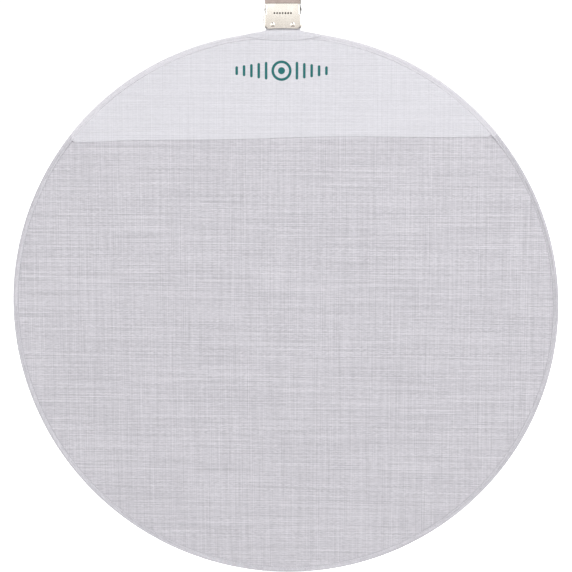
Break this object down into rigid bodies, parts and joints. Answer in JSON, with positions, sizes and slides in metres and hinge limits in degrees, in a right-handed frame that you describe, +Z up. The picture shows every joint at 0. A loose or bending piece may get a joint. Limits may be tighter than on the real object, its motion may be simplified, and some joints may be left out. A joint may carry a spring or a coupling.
{
  "type": "collapsible backdrop panel",
  "caption": "Round sheer cloth backdrop stretched on a sprung steel hoop, with a pocket across its top, hung by a cloth tab from a sprung metal clip.",
  "frame": {"origin": "centre of the hanging hole in the clip's rear lever, halfway through the plate", "axes": "+Z up, the panel's front faces -Y, +X to the right seen from the front; the hanging hole runs along Y"},
  "size_m": [0.5599, 0.0224, 0.6151],
  "materials": {
    "hoop_spring_steel": "blued and polished",
    "zinc_plated_steel": "zinc plated",
    "joint_tape": "matt",
    "casing_cloth": "plain weave tape",
    "slubbed_backdrop_cloth": "slubbed plain weave, sheer",
    "slubbed_pocket_cloth": "slubbed plain weave, two layers",
    "tab_cloth": "folded plain weave",
    "sewing_thread": "spun polyester",
    "nickel_plate": "satin nickel plate on pressed steel",
    "spring_wire": "drawn wire",
    "grip_rubber": "moulded, grooved",
    "rivet_nickel": "nickel plated"
  },
  "bodies": {
    "clip_rear": {"rear_jaw": "nickel_plate", "hinge_pin": "zinc_plated_steel", "torsion_spring": "spring_wire", "rear_pad": "grip_rubber", "rear_pad_left_rivet": "rivet_nickel", "rear_pad_right_rivet": "rivet_nickel"},
    "clip_front": {"front_jaw": "nickel_plate", "front_pad": "grip_rubber", "front_pad_left_rivet": "rivet_nickel", "front_pad_right_rivet": "rivet_nickel"},
    "panel": {"hoop_band": "hoop_spring_steel", "hoop_ferrule": "zinc_plated_steel", "hoop_rivets": "zinc_plated_steel", "hoop_joint_wrap": "joint_tape", "rim_casing": "casing_cloth", "backdrop_cloth": "slubbed_backdrop_cloth", "pocket_cloth": "slubbed_pocket_cloth", "hanging_tab": "tab_cloth", "rim_seam_needle_thread": "sewing_thread", "rim_seam_bobbin_thread": "sewing_thread", "hem_seam_thread": "sewing_thread", "pocket_bar_tacks": "sewing_thread", "tab_seam_threads": "sewing_thread", "tab_bar_tacks": "sewing_thread"}
  },
  "joints": [
    {"name": "jaw_open", "type": "hinge", "parent": "clip_rear", "child": "clip_front", "pos_m": [0, -0.006, -0.0263], "axis": [-1, 0, 0], "range_deg": [0, 35], "stiffness_Nm_per_rad": 0.173, "springref_deg": -34.38, "deforming": ["torsion_spring"]},
    {"name": "panel_release", "type": "slide", "parent": "clip_rear", "child": "panel", "axis": [0, 0, -1], "range_m": [0, 0.03]}
  ]
}
